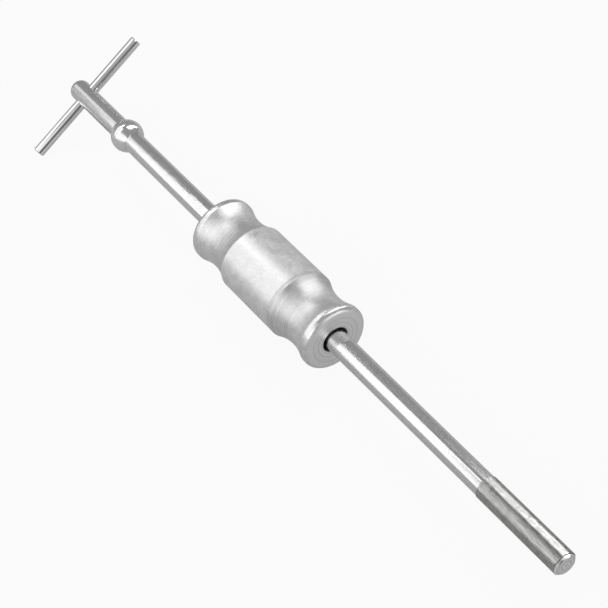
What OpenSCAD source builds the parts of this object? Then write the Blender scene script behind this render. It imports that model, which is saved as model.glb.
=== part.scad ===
// Slide hammer puller: a threaded bar with a cross bar handle, a ball stop and a sliding hammer weight.
// The bar lies along X. The flat end of its thread is at the origin and the handle is at the far, negative end.
// The tool rests on a bench on the barrel of its weight and on one tip of its cross bar.

/* [Shaft] */
// Diameter of the plain bar that the weight runs on
shaft_d = 13; // [11:0.5:13.5]
// Whole length of the shaft, from the flat end of the thread to the tip of the dome
shaft_l = 464; // [440:1:520]
// Radius of the edge where the domed tip meets the bar
dome_edge_r = 4.5; // [2:0.25:5]

/* [Thread] */
// Major diameter of the thread, over its crests
thread_d = 13.8; // [13.6:0.1:14.4]
// Distance from one crest to the next
thread_pitch = 1; // [0.75:0.25:1.75]
// Length of the threaded end, with its chamfer
thread_l = 61; // [40:1:70]
// Length and depth of the chamfer at the flat end
end_chamfer = 1.4; // [0.5:0.1:2]

/* [Stop ball] */
// Diameter of the ball that the weight strikes
ball_d = 20; // [18:0.5:24]
// Distance from the middle of the ball to the middle of the cross bar
ball_to_bar = 48; // [30:0.5:60]
// Diameter of the dowel that pins the ball to the shaft
stop_pin_d = 3; // [2:0.5:4]

/* [Cross bar] */
// Diameter of the cross bar
bar_d = 7; // [5:0.5:8]
// Length of the cross bar
bar_l = 92; // [80:1:120]
// Distance from the middle of the cross bar to the tip of the dome
bar_to_tip = 12.3; // [10:0.1:20]
// Chamfer on the two ends of the cross bar
bar_chamfer = 0.5; // [0.2:0.1:1]

/* [Hammer weight] */
// Length of the weight
weight_l = 112.5; // [100:0.5:130]
// Diameter of the barrel in the middle of the weight
barrel_d = 42; // [40.5:0.5:46]
// Diameter of the two rims
rim_d = 40.2; // [39:0.2:40.4]
// Diameter at the bottom of each waist
waist_d = 35.2; // [32:0.2:37]
// Distance from the bottom of each waist to the nearer end of the weight
waist_to_end = 18; // [16:0.5:22]
// Radius of the hollow that makes each waist
cove_r = 34; // [28:1:40]
// Radius on both edges of each rim
rim_edge_r = 3; // [1.5:0.25:3.5]
// Room between the thread's crests and the bore that passes over them
bore_clearance = 1; // [0.3:0.1:1.2]
// Depth and width of the countersink at each mouth of the bore
mouth_chamfer = 0.4; // [0.2:0.1:0.8]
// Distance from the flat end of the thread to the near end of the weight, where the weight rests
weight_rest = 188.5; // [100:0.5:240]

/* [Hidden] */
$fn = 96;

// How far a cut runs past the surface that it opens
overrun = 1;

// Room round each pressed piece, so that its solid only just clears the one that holds it
press_gap = 0.05;

// Shaft and its stations along X
shaft_r = shaft_d / 2;
bar_x = bar_to_tip - shaft_l;
ball_x = bar_x + ball_to_bar;

// Thread form: a 60 degree V with a flat crest, an eighth of the pitch wide, and a flat root twice as wide
crest_share = 1 / 8;
root_share = 1 / 4;
thread_r = thread_d / 2;
thread_depth = thread_pitch * (1 - crest_share - root_share) / 2 / tan(30);
root_r = thread_r - thread_depth;
shoulder_l = thread_r - shaft_r;
turns = floor((thread_l - end_chamfer - shoulder_l) / thread_pitch);
thread_start_x = -thread_l + shoulder_l;

// The cross bar leans until the corner of its lower chamfer reaches the plane that the barrel lies on
barrel_r = barrel_d / 2;
bar_r = bar_d / 2;
bar_tip_r = bar_r - bar_chamfer;
bar_corner_x = bar_l / 2 - bar_chamfer;
lean_reach = norm([bar_corner_x, bar_r]);
bar_lean = asin(barrel_r / lean_reach) - atan2(bar_r, bar_corner_x);

// Ball and its pin, which lies beside the cross bar, drilled from the same side
ball_r = ball_d / 2;
stop_pin_r = stop_pin_d / 2;

// Weight: half of its length, its bore and the middle of the rounded edges of its rims
half_l = weight_l / 2;
weight_x = -weight_rest - half_l;
bore_r = thread_r + bore_clearance;
rim_r = rim_d / 2;
waist_r = waist_d / 2;
cove_x = half_l - waist_to_end;
cove_y = waist_r + cove_r;
edge_y = rim_r - rim_edge_r;
inner_edge_x = cove_x + sqrt(pow(cove_r + rim_edge_r, 2) - pow(cove_y - edge_y, 2));
outer_edge_x = half_l - rim_edge_r;
// Where the hollow of the waist runs smoothly into the rounded edge of the rim
blend_share = rim_edge_r / (cove_r + rim_edge_r);
blend_x = inner_edge_x + (cove_x - inner_edge_x) * blend_share;
blend_y = edge_y + (cove_y - edge_y) * blend_share;

// Travel of the weight from its rest: back to the ball, and forward to the start of the thread
seat_gap = 0.1;
ball_seat = max(
    sqrt(pow(ball_r, 2) - pow(bore_r, 2)) - mouth_chamfer,
    sqrt(pow(ball_r, 2) - pow(bore_r + mouth_chamfer, 2))
);
travel_back = weight_x - half_l - ball_x - ball_seat - seat_gap;
travel_forward = weight_rest - thread_l;
echo(travel_back = travel_back, travel_forward = travel_forward, bar_lean = bar_lean, turns = turns);
echo(weight_x = weight_x, ball_x = ball_x, bar_x = bar_x, root_r = root_r, bore_r = bore_r);

// A round bar along X from x0 to x1
module bar_along_x(r, x0, x1)
    translate([x0, 0, 0])
        rotate([0, 90, 0])
            cylinder(r = r, h = x1 - x0);

// Turns a profile drawn as [distance along X, radius] round the X axis
module turned_on_x()
    rotate([0, 90, 0])
        rotate_extrude()
            rotate([0, 0, -90])
                mirror([1, 0])
                    children();

// Stands a bar through the shaft at x, turned from level by an angle
module across_shaft(x, turn)
    translate([x, 0, 0])
        rotate([turn, 0, 0])
            rotate([90, 0, 0])
                children();

// One tooth gap of the thread, as points from its crest edge nearer the end to its far crest edge
function gap_points(middle_x) = [
    [middle_x + thread_pitch * (1 - crest_share) / 2, thread_r],
    [middle_x + thread_pitch * root_share / 2, root_r],
    [middle_x - thread_pitch * root_share / 2, root_r],
    [middle_x - thread_pitch * (1 - crest_share) / 2, thread_r]
];

// The shaft's threaded end in profile: chamfer, tooth gaps at the true pitch, and the step down to the bar
module threaded_end_profile()
    polygon(concat(
        [[thread_start_x, 0], [0, 0], [0, thread_r - end_chamfer], [-end_chamfer, thread_r]],
        [for (turn = [0 : turns - 1]) each gap_points(-end_chamfer - thread_pitch * (turn + 1 / 2))],
        [[thread_start_x, thread_r]]
    ));

module shaft() {
    color("silver")
    difference() {
        union() {
            turned_on_x() threaded_end_profile();
            turned_on_x() polygon([
                [-thread_l, 0],
                [thread_start_x, 0],
                [thread_start_x, thread_r],
                [-thread_l, shaft_r]
            ]);
            bar_along_x(shaft_r, dome_edge_r - shaft_l, -thread_l);
            domed_tip();
        }
        across_shaft(bar_x, bar_lean)
            cylinder(r = bar_r + press_gap, h = shaft_d + overrun, center = true);
        across_shaft(ball_x, bar_lean)
            cylinder(r = stop_pin_r + press_gap, h = shaft_d + overrun, center = true);
    }
}

// The far end of the shaft: a short flat spot with a large round edge
module domed_tip()
    turned_on_x()
        intersection() {
            union() {
                translate([dome_edge_r - shaft_l, shaft_r - dome_edge_r])
                    circle(r = dome_edge_r);
                translate([-shaft_l, 0])
                    square([dome_edge_r, shaft_r - dome_edge_r]);
                translate([dome_edge_r - shaft_l, 0])
                    square([dome_edge_r, shaft_r]);
            }
            translate([-shaft_l, 0])
                square([dome_edge_r, shaft_r]);
        }

module cross_bar() {
    color("gainsboro")
    across_shaft(bar_x, bar_lean) {
        cylinder(r = bar_r, h = bar_l - 2 * bar_chamfer, center = true);
        for (side = [0, 1])
            mirror([0, 0, side])
                translate([0, 0, bar_l / 2 - bar_chamfer])
                    cylinder(r1 = bar_r, r2 = bar_tip_r, h = bar_chamfer);
    }
}

module stop_ball() {
    color("whitesmoke")
    difference() {
        translate([ball_x, 0, 0])
            sphere(r = ball_r);
        bar_along_x(shaft_r + press_gap, ball_x - ball_d, ball_x + ball_d);
        across_shaft(ball_x, bar_lean)
            cylinder(r = stop_pin_r + press_gap, h = ball_d + overrun, center = true);
    }
}

module stop_pin() {
    color("gray")
    intersection() {
        translate([ball_x, 0, 0])
            sphere(r = ball_r);
        across_shaft(ball_x, bar_lean)
            cylinder(r = stop_pin_r, h = ball_d + overrun, center = true);
    }
}

// Half of the weight in profile, from its middle to its end, solid to the axis
module half_weight_profile() {
    difference() {
        square([blend_x, barrel_r]);
        translate([cove_x, cove_y])
            circle(r = cove_r);
    }
    translate([blend_x, 0])
        polygon([
            [0, 0],
            [half_l - blend_x, 0],
            [half_l - blend_x, edge_y],
            [outer_edge_x - blend_x, edge_y],
            [outer_edge_x - blend_x, rim_r],
            [inner_edge_x - blend_x, rim_r],
            [inner_edge_x - blend_x, edge_y],
            [0, blend_y]
        ]);
    translate([outer_edge_x, edge_y])
        circle(r = rim_edge_r);
    intersection() {
        translate([inner_edge_x, edge_y])
            circle(r = rim_edge_r);
        translate([blend_x, 0])
            square([inner_edge_x - blend_x, rim_r]);
    }
}

module hammer_weight() {
    color("lightgray")
    translate([weight_x, 0, 0])
    difference() {
        turned_on_x() {
            half_weight_profile();
            mirror([1, 0]) half_weight_profile();
        }
        bar_along_x(bore_r, -half_l - overrun, half_l + overrun);
        for (side = [0, 1])
            mirror([side, 0, 0])
                translate([half_l - mouth_chamfer, 0, 0])
                    rotate([0, 90, 0])
                        cylinder(r1 = bore_r, r2 = bore_r + mouth_chamfer + overrun, h = mouth_chamfer + overrun);
    }
}

shaft();
cross_bar();
stop_ball();
stop_pin();
hammer_weight();
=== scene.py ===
# %% [markdown]
# # A slide hammer puller, dressed for its photograph
# The real tool is a steel bar with a weight that slides on it. The weight is thrown against a
# ball near the handle, and that blow pulls on whatever is screwed to the threaded end.
# The imported CAD model is loaded first, because it says where each piece lies and how large it
# is.

# %% Load the frame
import math

import bmesh
import bpy
from mathutils import Matrix, Vector


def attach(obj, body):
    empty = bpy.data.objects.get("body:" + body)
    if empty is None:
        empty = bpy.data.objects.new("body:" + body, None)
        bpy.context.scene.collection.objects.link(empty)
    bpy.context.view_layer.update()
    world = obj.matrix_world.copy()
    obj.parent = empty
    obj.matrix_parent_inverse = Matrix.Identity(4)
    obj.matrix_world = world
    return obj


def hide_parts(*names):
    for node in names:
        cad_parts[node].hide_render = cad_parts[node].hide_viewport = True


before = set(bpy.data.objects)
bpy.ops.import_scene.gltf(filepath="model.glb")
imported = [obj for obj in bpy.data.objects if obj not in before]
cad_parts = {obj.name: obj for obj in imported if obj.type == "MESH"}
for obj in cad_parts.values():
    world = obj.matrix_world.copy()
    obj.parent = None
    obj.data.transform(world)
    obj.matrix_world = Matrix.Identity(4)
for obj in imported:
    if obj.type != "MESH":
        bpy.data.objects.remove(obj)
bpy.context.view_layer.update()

# %% [markdown]
# ## Sizes
# These are the sizes of the CAD source, in millimetres, and `mm` turns them into metres. They
# could be measured on the loaded pieces, but written out they can be read. The tool lies along
# X with the flat end of its thread at the origin. A place that follows from other sizes is
# worked out from them.

# %% Sizes of the tool
mm = 0.001
shaft_l, shaft_r, dome_edge_r = 464, 6.5, 4.5
thread_l, thread_r, pitch, end_chamfer = 61, 6.9, 1.0, 1.4
bar_l, bar_r, bar_chamfer, bar_to_tip = 92, 3.5, 0.5, 12.3
ball_r, ball_to_bar, pin_r, press_gap = 10, 48, 1.5, 0.05
weight_half, weight_rest, barrel_r, rim_r = 56.25, 188.5, 21, 20.1
waist_r, waist_to_end, cove_r, rim_edge_r = 17.6, 18, 34, 3
bore_clearance, mouth = 1, 0.4
bar_x = bar_to_tip - shaft_l
ball_x = bar_x + ball_to_bar
weight_x = -weight_rest - weight_half
bore_r = thread_r + bore_clearance
floor_z = -barrel_r * mm
print("along X in mm: weight at", weight_x, "ball at", round(ball_x, 2), "bar at", round(bar_x, 2))

# %% [markdown]
# Two things follow from a rule. The thread is a V of 60 degrees with a flat crest and a flat
# root, so its pitch sets its depth. The tool lies on the barrel of its weight and on one tip of
# its cross bar, and that sets how far the bar leans. Both could be typed in as plain numbers,
# but worked out they stay true when a size changes.

# %% Depth of the thread and lean of the cross bar
crest_share, root_share = 1 / 8, 1 / 4
flank_slope = math.tan(math.radians(30))
root_r = thread_r - pitch * (1 - crest_share - root_share) / 2 / flank_slope
corner = bar_l / 2 - bar_chamfer
lean = math.asin(barrel_r / math.hypot(corner, bar_r)) - math.atan2(bar_r, corner)
print("the root of the thread is", round(2 * root_r, 2), "mm across")
print("the cross bar leans", round(math.degrees(lean), 2), "degrees")

# %% [markdown]
# ## Camera
# The photograph looks down on the thread's end, through a long lens from almost a metre away. A
# camera could be aimed by eye, but along such a thin bar a few pixels of error would show. So its
# place and its three directions come from a fit of the CAD model's outline to the photograph.
# `standing` turns a place and three directions into a matrix, and the lamps use it too.

# %% Camera
def standing(place, right, up, back):
    turn = Matrix((right, up, back)).transposed()
    return Matrix.Translation(place) @ turn.to_4x4()


lens = bpy.data.cameras.new("photo_camera")
lens.lens, lens.sensor_width = 113.17, 36
lens.clip_start, lens.clip_end = 0.05, 20
camera = bpy.data.objects.new("photo_camera", lens)
bpy.context.collection.objects.link(camera)
camera.matrix_world = standing(
    place=(0.403279, -0.262995, 0.792663),
    right=(0.573314, 0.79828, -0.184555),
    up=(-0.559753, 0.546099, 0.623259),
    back=(0.598321, -0.254018, 0.759926),
)
bpy.context.scene.camera = camera
print("camera at", [round(v, 3) for v in camera.location])

# %% [markdown]
# ## Nodes
# The metals, the floor, the room and the cutter of the thread are all built from nodes. These
# could be made and joined a line at a time, but that is long and hides the idea. `NodeWork` adds
# a node with its settings, and takes each of its inputs as a number or as another node's output.

# %% Helper that adds nodes and joins them
class NodeWork:
    def __init__(self, tree):
        self.nodes, self.links = tree.nodes, tree.links

    def put(self, socket, value):
        if isinstance(value, bpy.types.NodeSocket):
            self.links.new(value, socket)
        else:
            socket.default_value = value

    def add(self, kind, inputs, **settings):
        node = self.nodes.new(kind)
        for name, value in settings.items():
            setattr(node, name, value)
        for name, value in inputs.items():
            self.put(node.inputs[name], value)
        return node

    def calc(self, operation, a, b=0.0):
        return self.add("ShaderNodeMath", {0: a, 1: b}, operation=operation).outputs[0]

    def split(self, vector):
        return self.add("ShaderNodeSeparateXYZ", {0: vector}).outputs

    def spread(self, value, to, of, shape="LINEAR"):
        inputs = {"Value": value, "From Min": of[0], "From Max": of[1]}
        inputs.update({"To Min": to[0], "To Max": to[1]})
        node = self.add("ShaderNodeMapRange", inputs, interpolation_type=shape)
        return node.outputs["Result"]


# %% [markdown]
# ## Marks in metal
# Every surface of the tool is bare metal with fine marks from its making. Photographs of metal
# could be laid over the pieces, but noise needs no image and runs round any shape without a seam.
# `Marks` starts a material and reads the place on the tool in millimetres, so that a scale means
# the same on each piece: it is roughly how many marks fit in a millimetre. A noise seldom leaves
# the range `usual`, which is spread to what a finish needs. `fade` goes from 0 to 1 over a zone.

# %% Helper for marks in metal
usual = (0.3, 0.7)


class Marks(NodeWork):
    def __init__(self, name):
        self.material = bpy.data.materials.new(name)
        self.material.use_nodes = True
        super().__init__(self.material.node_tree)
        metres = self.add("ShaderNodeTexCoord", {}).outputs["Object"]
        scaled = self.add("ShaderNodeVectorMath", {0: metres, "Scale": 1 / mm}, operation="SCALE")
        self.place = scaled.outputs[0]
        self.x, self.y, self.z = self.split(self.place)

    def vector(self, x, y=0.0, z=0.0):
        return self.add("ShaderNodeCombineXYZ", {"X": x, "Y": y, "Z": z}).outputs[0]

    def radius(self):
        squares = self.calc("POWER", self.y, 2.0), self.calc("POWER", self.z, 2.0)
        return self.calc("SQRT", self.calc("ADD", *squares))

    def noise(self, vector, scale, detail=2.0, rough=0.5):
        inputs = {"Vector": vector, "Scale": scale, "Detail": detail, "Roughness": rough}
        return self.add("ShaderNodeTexNoise", inputs).outputs["Fac"]

    def fade(self, value, zone):
        return self.spread(value, (0.0, 1.0), zone)


# %% [markdown]
# ## Metal
# Marks become a finish in three ways: they blend two greys, change the gloss, or stand a little
# proud as a bump. One metal shader could serve the whole tool, but its pieces were ground,
# rolled, turned or polished, so each gets a `Metal` of its own. `grey` gives a colour, and `cool`
# adds a little blue to it, or a little yellow where it is below zero.

# %% Helper that finishes a metal
def grey(level, cool=0.0):
    return (level, level, level + cool, 1)


class Metal(Marks):
    def blend(self, factor, first, second):
        inputs = {"Factor": factor, "A": first, "B": second}
        return self.add("ShaderNodeMix", inputs, data_type="RGBA").outputs["Result"]

    def bump(self, height, depth, strength=1.0, under=None):
        inputs = {"Height": height, "Distance": depth * mm, "Strength": strength}
        if under is not None:
            inputs["Normal"] = under
        return self.add("ShaderNodeBump", inputs).outputs["Normal"]

    def finish(self, color, rough, normal):
        shader = self.nodes["Principled BSDF"]
        shader.inputs["Metallic"].default_value = 1.0
        for name, value in (("Base Color", color), ("Roughness", rough), ("Normal", normal)):
            self.put(shader.inputs[name], value)
        print(self.material.name, "has", len(self.nodes), "nodes")
        return self.material


# %% [markdown]
# ## Satin weight
# The weight was turned on a lathe and plated satin, and its barrel was blasted smooth. Lines from
# the lathe lie in its two hollows, darkened a little by painted shade, and as rings on its end
# faces.
# The finish could be three materials, but then each would end at a hard edge. Zones in one
# material can fade into each other. Most are measured from the middle of the weight, along X, in
# millimetres, and `rim_out` is measured from the axis.

# %% Zones of the weight
near_hollow, far_hollow = (21.0, 21.5), (-23.4, -24.2)
hollow_fades, end_faces = (31.0, 42.0), (55.6, 56.1)
rim_along, rim_out = (50.0, 52.0), (18.4, 19.2)

satin = Metal("satin_weight")
axis_distance = satin.radius()
off_middle = satin.calc("SUBTRACT", satin.x, weight_x)
from_middle = satin.calc("ABSOLUTE", off_middle)
near, far = satin.fade(off_middle, near_hollow), satin.fade(off_middle, far_hollow)
strongest = satin.spread(from_middle, to=(1.0, 0.3), of=hollow_fades)
hollow = satin.calc("MULTIPLY", satin.calc("MAXIMUM", near, far), strongest)
end_face = satin.fade(from_middle, end_faces)
print("lathe marks from", near_hollow[0], "mm and", far_hollow[0], "mm to each end")

# %% [markdown]
# The lathe's lines run round the axis. They could be cut in the mesh, but they are finer than its
# faces. A noise does it that reads one number alone, the distance along the axis and out from it,
# so it stays the same all round. The blasted grain and a broad cloud over it read the whole place.

# %% Marks on the weight
lines_per_mm, grains_per_mm, clouds_per_mm = 0.9, 0.8, 0.22
along_and_out = satin.vector(satin.calc("ADD", satin.x, axis_distance))
lathe_lines = satin.noise(along_and_out, lines_per_mm, detail=4.0, rough=0.65)
blasted = satin.noise(satin.place, grains_per_mm, detail=4.0, rough=0.6)
cloud = satin.noise(satin.place, clouds_per_mm, detail=3.0)
mottle = satin.calc("ADD", satin.spread(blasted, to=(0.0, 0.65), of=usual),
                    satin.spread(cloud, to=(0.0, 0.35), of=usual))
lined = satin.calc("MULTIPLY", satin.fade(lathe_lines, (0.42, 0.62)), hollow)
rings = satin.fade(lathe_lines, (0.4, 0.6))
print("lathe lines about", round(1 / lines_per_mm, 1), "mm apart")
print("clouds about", round(1 / clouds_per_mm, 1), "mm wide")

# %% [markdown]
# Nickel plate is pale, and it looks darker where lines hold dirt. The greys are laid over each
# other: the mottled plate, the painted shade in the hollows, their lines, and the rings at the
# ends.
# They could be mixed at once from one sum, but in layers each can be set alone.

# %% Colour of the weight
dark_plate, pale_plate = grey(0.61), grey(0.89)
# `shade` is painted shade: a darker grey laid into the hollows, strongest beside the barrel.
shade, shade_share = grey(0.5, cool=0.01), 0.15
dirt, dirt_share = grey(0.42, cool=0.01), 0.7
dark_ring, pale_ring = grey(0.76, cool=-0.005), grey(0.97, cool=-0.005)

plate = satin.blend(mottle, dark_plate, pale_plate)
# Painted shade darkens the hollows.
plate = satin.blend(satin.calc("MULTIPLY", hollow, shade_share), plate, shade)
plate = satin.blend(satin.calc("MULTIPLY", lined, dirt_share), plate, dirt)
plate = satin.blend(end_face, plate, satin.blend(rings, dark_ring, pale_ring))
print("the hollows take", shade_share, "of the shade, and their lines", dirt_share, "of the dirt")

# %% [markdown]
# Satin plate spreads a highlight wide. The rims have been rubbed by hands, so they are glossier.
# Each mark could have its own bump on the shader, but a shader takes one, so the grain's bump is
# laid on top of that of the lines.

# %% Gloss and relief of the weight
rubbed = satin.calc("MULTIPLY", satin.spread(axis_distance, to=(0.0, -0.12), of=rim_out),
                    satin.fade(from_middle, rim_along))
dull = satin.calc("ADD", satin.spread(cloud, to=(0.38, 0.46), of=usual),
                  satin.spread(blasted, to=(-0.04, 0.04), of=usual))
marked = satin.calc("MULTIPLY", lathe_lines, satin.calc("MAXIMUM", hollow, end_face))
relief = satin.bump(marked, depth=0.26, strength=0.9)
relief = satin.bump(blasted, depth=0.08, strength=0.6, under=relief)
weight_metal = satin.finish(plate, satin.calc("ADD", dull, rubbed), relief)

# %% [markdown]
# ## Chromed shaft
# The shaft is a ground bar under chrome plate. Real wear runs along it, where the weight slides,
# over a fine even grain. Streaks could be painted, but a noise does it that is stretched seven
# times along X. The plate stays glossy, so the bar mirrors the lamps as long bands.

# %% Metal of the shaft
def satin_chrome_bar():
    metal = Metal("satin_chrome_bar")
    stretch, dark, pale = 0.15, grey(0.50, cool=0.005), grey(0.88, cool=0.005)
    stretched = metal.vector(metal.calc("MULTIPLY", metal.x, stretch), metal.y, metal.z)
    streak = metal.noise(stretched, scale=0.9, detail=3.0)
    grain = metal.noise(metal.place, scale=1.8, detail=4.0, rough=0.6)
    color = metal.blend(metal.fade(grain, usual), dark, pale)
    rough = metal.calc("ADD", metal.spread(streak, to=(0.1, 0.15), of=usual),
                       metal.spread(grain, to=(-0.01, 0.02), of=usual))
    return metal.finish(color, rough, metal.bump(grain, depth=0.005, strength=0.4))


bar_metal = satin_chrome_bar()

# %% [markdown]
# ## Rolled thread
# The thread was rolled into the bar and has no fresh plate. Its flanks carry a yellowish film of
# oil, its crests are worn lighter, and the root of each groove is darkened with painted shade. The
# flat end is bright, with rings from the lathe. Grooves and crests could be told apart by the
# slope of the surface, but the distance from the axis tells it just as well, and it is one simple
# number.
# The painted shade fills a fifth of the depth, and the wear reaches down a little less.

# %% Metal of the thread
# The darkest grey is painted shade at the root of each groove, over the bottom fifth of its depth.
root_shade_share, wear_share, end_fade = 0.2, 0.15, 0.1
painted_root_shade = grey(0.27, cool=-0.015)
oiled = grey(0.20, cool=-0.01), grey(0.66, cool=-0.015)
worn = grey(0.30, cool=-0.01), grey(0.78, cool=-0.01)
turned_end = grey(0.56), grey(0.95)


def rolled_thread():
    metal = Metal("rolled_thread")
    out, depth = metal.radius(), thread_r - root_r
    flank = metal.fade(out, (root_r, root_r + root_shade_share * depth))
    crest = metal.fade(out, (thread_r - wear_share * depth, thread_r))
    flat_end = metal.fade(metal.x, (-end_chamfer, end_fade - end_chamfer))
    speckle = metal.fade(metal.noise(metal.place, scale=1.5, detail=3.0), (0.36, 0.64))
    rings = metal.fade(metal.noise(metal.vector(out), scale=0.9, detail=4.0), (0.4, 0.6))
    # Painted shade at the root of the groove, then the oiled flanks.
    color = metal.blend(flank, painted_root_shade, metal.blend(speckle, *oiled))
    color = metal.blend(crest, color, metal.blend(speckle, *worn))
    color = metal.blend(flat_end, color, metal.blend(rings, *turned_end))
    marks = metal.noise(metal.vector(metal.x), scale=5.0)
    grain = metal.noise(metal.place, scale=0.9, detail=4.0)
    relief = metal.bump(grain, depth=0.03, strength=0.5, under=metal.bump(marks, depth=0.03))
    return metal.finish(color, metal.spread(grain, to=(0.18, 0.28), of=usual), relief)


thread_metal = rolled_thread()

# %% [markdown]
# ## Polished ball
# The stop is a steel bearing ball, polished and almost without marks. Pure mirror metal could
# stand for it, but it would look like glass. A faint cloud in its colour and gloss, and a very
# low grain, make it steel that has been handled.

# %% Metal of the ball
def polished_ball():
    metal = Metal("polished_ball")
    cloud = metal.noise(metal.place, scale=0.3, detail=3.0)
    grain = metal.noise(metal.place, scale=3.0)
    color = metal.blend(cloud, grey(0.72, cool=0.005), grey(0.78))
    relief = metal.bump(grain, depth=0.003, strength=0.3)
    return metal.finish(color, metal.spread(cloud, to=(0.12, 0.17), of=usual), relief)


ball_metal = polished_ball()

# %% [markdown]
# ## Ground pin
# The pin's ends were ground flush with the ball, so they are duller than it. They could share
# the ball's metal, but then the pin wouldn't show at all.

# %% Metal of the pin
def ground_pin():
    metal = Metal("ground_pin")
    grain = metal.noise(metal.place, scale=4.0, detail=3.0)
    color = metal.blend(grain, grey(0.58, cool=0.01), grey(0.68))
    relief = metal.bump(grain, depth=0.01, strength=0.4)
    return metal.finish(color, metal.spread(grain, to=(0.18, 0.3), of=usual), relief)


pin_metal = ground_pin()

# %% [markdown]
# ## Polished cross bar
# The cross bar is drawn wire with a bright plate, and fine lines run along it. The lines could
# follow the Y axis, but the bar leans, and they would cross it at a slant. So the place is turned
# back by the lean first, and the noise is then stretched along the bar itself.

# %% Metal of the cross bar
def polished_bar():
    metal = Metal("polished_bar")
    turned_back = metal.add("ShaderNodeVectorRotate", {"Vector": metal.place, "Angle": -lean},
                            rotation_type="X_AXIS")
    x, y, z = metal.split(turned_back.outputs[0])
    stretch = 0.03
    stretched = metal.vector(x, metal.calc("MULTIPLY", y, stretch), z)
    streak = metal.noise(stretched, scale=1.1, detail=4.0)
    color = metal.blend(metal.fade(streak, usual), grey(0.66, cool=0.01), grey(0.96))
    relief = metal.bump(streak, depth=0.05, strength=0.8)
    return metal.finish(color, metal.spread(streak, to=(0.05, 0.12), of=usual), relief)


cross_metal = polished_bar()

# %% [markdown]
# ## Outlines and objects
# Every piece of the tool was turned, or has the shape of a turned piece, so each starts as an
# outline of points. A point is a distance along X and a distance out from the axis. A curve
# object could hold the outline, but plain points follow straight from the sizes. `arc` gives the
# points of a round part, `made` turns a finished mesh into an object, and `shaded` smooths all
# edges but the sharp ones.

# %% Helpers for outlines and objects
def arc(x, y, r, start, end, steps):
    angles = [math.radians(start + (end - start) * i / steps) for i in range(steps + 1)]
    return [(x + r * math.cos(a), y + r * math.sin(a)) for a in angles]


def made(name, mesh, material):
    data = bpy.data.meshes.new(name)
    mesh.to_mesh(data)
    mesh.free()
    data.materials.append(material)
    piece = bpy.data.objects.new(name, data)
    bpy.context.collection.objects.link(piece)
    return piece


def shaded(piece, sharp=18):
    piece.data.shade_smooth()
    piece.data.set_sharp_from_angle(angle=math.radians(sharp))
    print(piece.name, "has", len(piece.data.polygons), "faces")
    return piece


# %% [markdown]
# ## Turning
# On a lathe the piece spins and the tool follows its outline. A Screw modifier could spin an
# outline too, but it leaves a seam to close. `turned` leaves none: each point becomes a ring, and
# faces join one ring to the next. A point on the axis is a ring of one corner. A closed outline
# makes a piece with a bore.

# %% Helpers that turn an outline into a piece
on_axis = 1e-6


def ring(mesh, x, r, sides):
    if r < on_axis:
        return [mesh.verts.new((x * mm, 0, 0))] * sides
    angles = [2 * math.pi * i / sides for i in range(sides)]
    return [mesh.verts.new((x * mm, r * mm * math.cos(a), r * mm * math.sin(a))) for a in angles]


def turned(name, outline, material, sides, closed=False):
    mesh = bmesh.new()
    rings = [ring(mesh, x, r, sides) for x, r in outline]
    pairs = list(zip(rings, rings[1:])) + ([(rings[-1], rings[0])] if closed else [])
    for first, second in pairs:
        for i in range(sides):
            j = (i + 1) % sides
            mesh.faces.new(dict.fromkeys([first[i], first[j], second[j], second[i]]))
    bmesh.ops.recalc_face_normals(mesh, faces=mesh.faces)
    return made(name, mesh, material)


# %% [markdown]
# ## Hammer weight
# The weight is a heavy grip with a barrel in the middle, a hollow waist towards each end and a
# round rim. It could be modelled from a cylinder with loops and a bevel, but then its curves
# would be near the CAD's and not the same. So the same arcs are worked out here. Half of the
# outline is enough, because both ends are alike. It runs from the middle of the barrel to the
# mouth of the bore. The hollow is one large arc that flows into the edge of the rim, and its
# edge with the barrel stays sharp.

# %% Half of the weight's outline
def half_weight():
    cove_x, cove_y = weight_half - waist_to_end, waist_r + cove_r
    edge_y = rim_r - rim_edge_r
    inner_x = cove_x + math.sqrt((cove_r + rim_edge_r) ** 2 - (cove_y - edge_y) ** 2)
    meet = math.degrees(math.acos((cove_y - barrel_r) / cove_r))
    flow = math.degrees(math.asin((inner_x - cove_x) / (cove_r + rim_edge_r)))
    waist = arc(cove_x, cove_y, cove_r, 270 - meet, 270 + flow, steps=40)
    inner = arc(inner_x, edge_y, rim_edge_r, 90 + flow, 90, steps=8)
    outer = arc(weight_half - rim_edge_r, edge_y, rim_edge_r, 90, 0, steps=10)
    face = [(weight_half, bore_r + mouth), (weight_half - mouth, bore_r)]
    return [(0, barrel_r)] + waist + inner[1:] + outer + face


half = half_weight()
print("half of the weight is drawn with", len(half), "points")

# %% [markdown]
# The other half is the first one's mirror image. A Mirror modifier could add it, but then the two
# meshes would have to be joined in the middle. So the outline is mirrored instead, before it is
# turned. It closes through the bore.

# %% Hammer weight
outline = [(weight_x + x, r) for x, r in half]
outline += [(weight_x - x, r) for x, r in reversed(half[1:])]
weight = shaded(turned("weight_body", outline, weight_metal, sides=192, closed=True))
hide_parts("hammer_weight")
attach(weight, "weight")

# %% [markdown]
# ## Stop ball
# The ball is bored through and pressed on the shaft, and the weight strikes it. A sphere with a
# hole cut by a boolean would do, but its faces would be ragged round the hole. As a turned ring
# it comes out clean: one arc over the top, and the straight bore inside.

# %% Stop ball
reach = math.degrees(math.acos((shaft_r + press_gap) / ball_r))
ball_outline = arc(ball_x, 0, ball_r, 90 + reach, 90 - reach, steps=48)
ball = shaded(turned("stop_ball_skin", ball_outline, ball_metal, sides=128, closed=True))
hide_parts("stop_ball")
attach(ball, "bar")

# %% [markdown]
# ## Stop pin
# A pin goes through the ball and the shaft, beside the cross bar, and was ground to the ball's
# round surface. It could be a cylinder that is cut by the ball, but a turned pin whose ends are
# arcs of the ball's own radius is exact. `crosswise` lays a piece that was turned on X along Y,
# and then leans it round X. It moves the mesh, so that the object itself stays at the origin.

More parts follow.
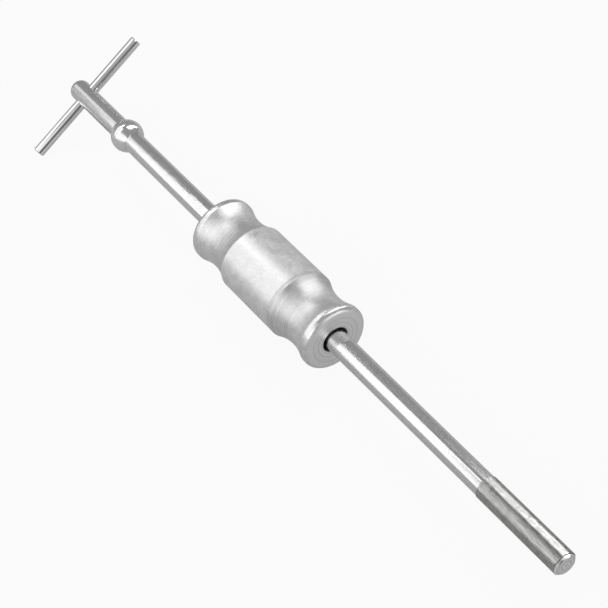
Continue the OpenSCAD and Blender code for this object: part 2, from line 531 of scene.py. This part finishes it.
# %% Stop pin
def crosswise(piece, x):
    turn = Matrix.Rotation(lean, 4, "X") @ Matrix.Rotation(math.radians(90), 4, "Z")
    piece.data.transform(Matrix.Translation((x * mm, 0, 0)) @ turn)
    return piece


cap = math.degrees(math.asin(pin_r / ball_r))
pin_outline = arc(0, 0, ball_r, 180, 180 - cap, steps=6) + arc(0, 0, ball_r, cap, 0, steps=6)
pin = shaded(crosswise(turned("stop_pin_skin", pin_outline, pin_metal, sides=48), ball_x))
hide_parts("stop_pin")
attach(pin, "bar")

# %% [markdown]
# ## Cross bar
# The handle is a plain round bar with a small chamfer at each end. A cylinder with a bevel would
# look the same, but the outline needs only three points and their mirror image, and `crosswise`
# lays it as it laid the pin.

# %% Cross bar
end = bar_l / 2
bar_outline = [(-end, 0), (-end, bar_r - bar_chamfer), (-end + bar_chamfer, bar_r)]
bar_outline += [(-x, r) for x, r in reversed(bar_outline)]
cross = shaded(crosswise(turned("cross_bar_skin", bar_outline, cross_metal, sides=64), bar_x))
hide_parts("cross_bar")
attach(cross, "bar")

# %% [markdown]
# ## Thread
# The CAD solid stands in for the thread with closed rings. The real thread is one groove that
# was rolled in and winds round the bar to the right. It could be a bump, but its crests show at
# the edge of the bar, so it is cut here. A Screw modifier could wind the whole surface, but the
# groove has to run out into a plain bar. Geometry Nodes wind a cutter round the axis and take it
# away from a blank. The tree's inputs are the thread's own sizes.

# %% Inputs of the thread's node tree
thread_tree = bpy.data.node_groups.new("cut_thread", "GeometryNodeTree")
sizes = ("Pitch", "Turns", "Start", "Cutter Radius", "Depth", "Root Width", "Mouth Width")
sockets = [("Blank", "Geometry")] + [(size, "Float") for size in sizes]
sockets += [("Steps", "Int"), ("Material", "Material")]
for name, kind in sockets:
    thread_tree.interface.new_socket(name, in_out="INPUT", socket_type="NodeSocket" + kind)
thread_tree.interface.new_socket("Threaded", in_out="OUTPUT", socket_type="NodeSocketGeometry")
cutting = NodeWork(thread_tree)
given = cutting.add("NodeGroupInput", {}).outputs
print("the thread tree takes", ", ".join(name for name, kind in sockets))

# %% [markdown]
# The cutter's path is a spiral that climbs one pitch in each turn. A spiral curve has its own
# idea of which way is up, and a cutter swept along it would twist. Z Up keeps the cutter level.

# %% Path of the cutter
height = cutting.calc("MULTIPLY", given["Pitch"], given["Turns"])
spiral = cutting.add("GeometryNodeCurveSpiral", {
    "Resolution": given["Steps"],
    "Rotations": given["Turns"],
    "Start Radius": given["Cutter Radius"],
    "End Radius": given["Cutter Radius"],
    "Height": height,
})
path = cutting.add("GeometryNodeSetCurveNormal", {"Curve": spiral.outputs[0]}, mode="Z_UP")
print("the path has", len(cutting.nodes), "nodes so far")

# %% [markdown]
# The cutter's section is the V of the thread with its flat root. It is drawn flat, so a quarter
# turn points its mouth outwards. The cutter is wound round Z, and another quarter turn lays it
# along X, where the bar lies.

# %% Cutter
quarter_turn = math.radians(90)
vee = cutting.add("GeometryNodeCurvePrimitiveQuadrilateral", {
    "Height": given["Depth"],
    "Bottom Width": given["Mouth Width"],
    "Top Width": given["Root Width"],
    "Offset": 0.0,
}, mode="TRAPEZOID")
outward = cutting.add("GeometryNodeTransform", {
    "Geometry": vee.outputs[0],
    "Rotation": (0, 0, quarter_turn),
})
cutter = cutting.add("GeometryNodeCurveToMesh", {
    "Curve": path.outputs[0],
    "Profile Curve": outward.outputs[0],
    "Fill Caps": True,
})
start = cutting.add("ShaderNodeCombineXYZ", {"X": given["Start"]})
laid = cutting.add("GeometryNodeTransform", {
    "Geometry": cutter.outputs[0],
    "Translation": start.outputs[0],
    "Rotation": (0, quarter_turn, 0),
})
print("with the cutter it has", len(cutting.nodes), "nodes")

# %% [markdown]
# A boolean takes the cutter away from the blank. The exact solver is slower than the fast one,
# but it stays true where neighbouring turns of the cutter almost touch. The tree ends by making
# everything real and giving it the thread's metal.

# %% Cutting
cut = cutting.add("GeometryNodeMeshBoolean", {
    "Mesh 1": given["Blank"],
    "Mesh 2": laid.outputs[0],
}, operation="DIFFERENCE", solver="EXACT")
real = cutting.add("GeometryNodeRealizeInstances", {"Geometry": cut.outputs["Mesh"]})
painted = cutting.add("GeometryNodeSetMaterial", {
    "Geometry": real.outputs[0],
    "Material": given["Material"],
})
cutting.add("NodeGroupOutput", {"Threaded": painted.outputs[0]})
print("the whole thread tree has", len(cutting.nodes), "nodes")

# %% [markdown]
# ## Shaft
# The blank is the whole shaft in one outline, as a bar comes from the lathe: the flat end with
# its chamfer, the fatter part for the thread, the plain bar and the dome. It could be joined from
# three pieces, but one outline has no seam to hide.

# %% Blank of the shaft
shoulder = 0.5
dome = arc(dome_edge_r - shaft_l, shaft_r - dome_edge_r, dome_edge_r, 90, 180, steps=16)
blank = [(0, 0), (0, thread_r - end_chamfer), (-end_chamfer, thread_r)]
blank += [(-thread_l + shoulder, thread_r), (-thread_l, shaft_r)] + dome + [(-shaft_l, 0)]
shaft = turned("shaft_skin", blank, thread_metal, sides=96)
print("the blank has", len(shaft.data.polygons), "faces")

# %% [markdown]
# The tree runs in a modifier on the blank. It could stay there, but what is handed on has to be a
# plain mesh, so `settle` keeps the result and drops the modifier. The cutter starts `run_out` away
# from the plain bar and winds out past the flat end. It reaches `past_crest` over the crests, so
# that no thin skin is left.

# %% Thread on the shaft
def settle(piece):
    graph = bpy.context.evaluated_depsgraph_get()
    data = bpy.data.meshes.new_from_object(piece.evaluated_get(graph), depsgraph=graph)
    piece.modifiers.clear()
    piece.data = data


turns, run_out, past_crest = 60.0, 1.1, 0.05
settings = {
    "Pitch": pitch * mm,
    "Turns": turns,
    "Start": (-thread_l + run_out) * mm,
    "Cutter Radius": (root_r + thread_r + past_crest) / 2 * mm,
    "Depth": (thread_r + past_crest - root_r) * mm,
    "Root Width": pitch * root_share * mm,
    "Mouth Width": (pitch * (1 - crest_share) + 2 * past_crest * flank_slope) * mm,
    "Steps": 48,
    "Material": thread_metal,
}
winding = shaft.modifiers.new("thread", "NODES")
winding.node_group = thread_tree
for socket in thread_tree.interface.items_tree:
    if socket.in_out == "INPUT" and socket.name in settings:
        winding[socket.identifier] = settings[socket.name]
settle(shaft)
print("the threaded shaft has", len(shaft.data.polygons), "faces")

# %% [markdown]
# The cross bar and the pin go through holes that were drilled across the shaft. Faces could be
# left out where they enter, but the bar would then stand in a shell. Two plain cutters drill real
# holes, a press gap wider than what they hold.

# %% Holes for the cross bar and the pin
drill_reach = 10


def drilled(piece, x, r):
    outline = [(-drill_reach, 0), (-drill_reach, r), (drill_reach, r), (drill_reach, 0)]
    drill = crosswise(turned("drill", outline, thread_metal, sides=64), x)
    hole = piece.modifiers.new("hole", "BOOLEAN")
    hole.object, hole.operation, hole.solver = drill, "DIFFERENCE", "EXACT"
    bpy.context.view_layer.update()
    settle(piece)
    bpy.data.objects.remove(drill)


drilled(shaft, bar_x, bar_r + press_gap)
drilled(shaft, ball_x, pin_r + press_gap)
print("with its two holes the shaft has", len(shaft.data.polygons), "faces")

# %% [markdown]
# The thread and the plain bar are one solid with two metals. They could be two objects, but the
# CAD has one shaft here. So the faces behind the thread get the bar's metal instead.

# %% Shaft
just_behind = 0.01
shaft.data.materials.clear()
for metal in (thread_metal, bar_metal):
    shaft.data.materials.append(metal)
for face in shaft.data.polygons:
    face.material_index = 1 if face.center.x < (-thread_l + just_behind) * mm else 0
shaded(shaft)
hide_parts("shaft")
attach(shaft, "bar")

# %% [markdown]
# ## Pale background
# The photograph's background is white. More lamps could make a floor white, but they would wash
# out the tool. So the whiteness is kept out of the light: `lift` says how white a ray sees the
# background. It is nearly white to the camera, and a little of that is added for rays that come
# off metal or through glass, so that metal shows it too.

# %% Helper for a pale background
to_camera, to_mirrors = 0.93, 0.15


def lift(work):
    ray = work.add("ShaderNodeLightPath", {}).outputs
    seen = work.calc("MULTIPLY", ray["Is Camera Ray"], to_camera)
    for kind in ("Is Glossy Ray", "Is Transmission Ray"):
        seen = work.calc("MAXIMUM", seen, work.calc("MULTIPLY", ray[kind], to_mirrors))
    return seen


print("the background is lifted by", to_camera, "to the camera, by", to_mirrors, "in mirrors")

# %% [markdown]
# The tool lies on a plain floor. A shadow catcher would leave the picture see-through. This floor
# is pale paper that is blended with white light by `lift`, so it keeps a faint shadow. It lies at
# the lowest line of the barrel, on which the tool rests.

# %% Floor
def pale_floor():
    material = bpy.data.materials.new("pale_floor")
    material.use_nodes = True
    material.node_tree.nodes.clear()
    work = NodeWork(material.node_tree)
    paper = work.add("ShaderNodeBsdfDiffuse", {"Color": grey(0.52)})
    white = work.add("ShaderNodeEmission", {})
    both = {0: lift(work), 1: paper.outputs[0], 2: white.outputs[0]}
    mixed = work.add("ShaderNodeMixShader", both)
    work.add("ShaderNodeOutputMaterial", {"Surface": mixed.outputs[0]})
    return material


half_width = 6
wide = bmesh.new()
bmesh.ops.create_grid(wide, x_segments=1, y_segments=1, size=half_width)
floor = made("floor", wide, pale_floor())
floor.data.transform(Matrix.Translation((0, 0, floor_z)))
print("the floor lies at", floor_z, "m")

# %% [markdown]
# ## Lamps
# A polished bar mirrors each lamp as a band, so the bands in the photograph tell where its lamps
# stood. Point lamps would give only thin glints. Soft boxes are wide lamps with an even face,
# which is what a studio uses for metal. `radiance` is how bright a box looks, whatever its size.
# `along` is the direction of its width.

# %% Helper that stands a soft box
def soft_box(name, place, facing, width, height, radiance, along=(1, 0, 0)):
    data = bpy.data.lights.new(name, "AREA")
    data.shape, data.size, data.size_y = "RECTANGLE", width, height
    data.energy = radiance * math.pi * width * height
    lamp = bpy.data.objects.new(name, data)
    bpy.context.collection.objects.link(lamp)
    back = (Vector(place) - Vector(facing)).normalized()
    side = Vector(along) - back * Vector(along).dot(back)
    side.normalize()
    lamp.matrix_world = standing(place, side, back.cross(side), back)
    print(name, "shines with", round(data.energy, 2), "W")


# %% [markdown]
# One row of boxes stands along the left of the tool, in a plane that leans over it, and it draws
# the broad light band. The band fades towards the handle in the photograph. One long box couldn't
# do that, so the row is in parts of unequal strength. Each is given its place along X, how far
# it is moved up in that plane, its width and height, and its radiance.

# %% Row of lamps on the left
plane_off = 0.64
for name, x, moved, width, height, radiance in (
    ("left_box", -0.755, 0.057, 0.27, 1.337, 1.15),
    ("left_mid_box", -0.995, 0.231, 0.21, 0.812, 0.5),
    ("left_far_box", -1.25, 0.057, 0.30, 1.337, 1.0),
    ("left_back_box", -1.62, 0.355, 0.45, 0.685, 0.6),
    ("left_front_box", -0.07, -0.114, 1.10, 0.81, 0.6),
):
    place, facing = (x, moved - plane_off, moved + plane_off), (x, moved, moved)
    soft_box(name, place, facing, width, height, radiance)

# %% [markdown]
# Two strips on the right make the white band on the thread, a tall box beyond the handle lights
# the barrel, and the others fill in from above and in front. One large box overhead could replace
# them all, but the metal would then look flat.

# %% Other lamps
soft_box("top_box", (-0.40, 1.50, 2.00), (-0.40, 0, 0), 1.3, 1.3, 1.0)
soft_box("high_strip", (-0.49, 0.508, 0.862), (-0.49, 0, 0), 0.15, 0.443, 4.9)
soft_box("low_strip", (-0.49, 0.887, 0.462), (-0.49, 0, 0), 0.15, 0.708, 4.9)
soft_box("barrel_box", (-1.10, 0.06, 1.00), (-0.24, 0, 0), 0.14, 0.54, 5.8)
soft_box("right_box", (0.85, 0.52, 0.20), (-0.03, 0, 0), 0.9, 0.44, 1.8, along=(-0.52, 0.85, 0))
soft_box("front_left_box", (0.54, -0.85, 0.50), (-0.22, 0, 0), 0.6, 0.6, 1.1)
soft_box("front_box", (1.20, 0.10, 0.95), (-0.22, 0, 0), 0.7, 0.4, 1.0, along=(0, 1, 0))

# %% [markdown]
# ## Room
# Metal shows the whole room, not only its lamps. A picture of a real room could be wrapped round
# the scene, but a plain one that is worked out needs no image. It is grey, and grows lighter to
# the left, as if a white wall stood there. It is black straight ahead of the thread, which
# draws the dark line along the cross bar. To the camera it is nearly white.

# %% Room
white_wall, dark_ahead, nearly_white = (0.25, 0.67), (1.0, 0.0), 0.97
world = bpy.data.worlds.new("room")
bpy.context.scene.world = world
world.use_nodes = True
room = NodeWork(world.node_tree)
direction = room.split(room.add("ShaderNodeTexCoord", {}).outputs["Generated"])
to_left = room.spread(direction[1], white_wall, of=(-0.1, -0.9), shape="SMOOTHSTEP")
ahead = room.spread(direction[0], dark_ahead, of=(0.74, 0.94), shape="SMOOTHSTEP")
level = room.calc("MULTIPLY", to_left, ahead)
shown = room.add("ShaderNodeMix", {"Factor": lift(room), "A": level, "B": nearly_white})
room.put(room.nodes["Background"].inputs["Strength"], shown.outputs["Result"])
room.put(room.nodes["Background"].inputs["Color"], grey(1.0))
bpy.context.scene.view_settings.view_transform = "Standard"
print("the room goes from", white_wall[0], "to", white_wall[1], "on the left")
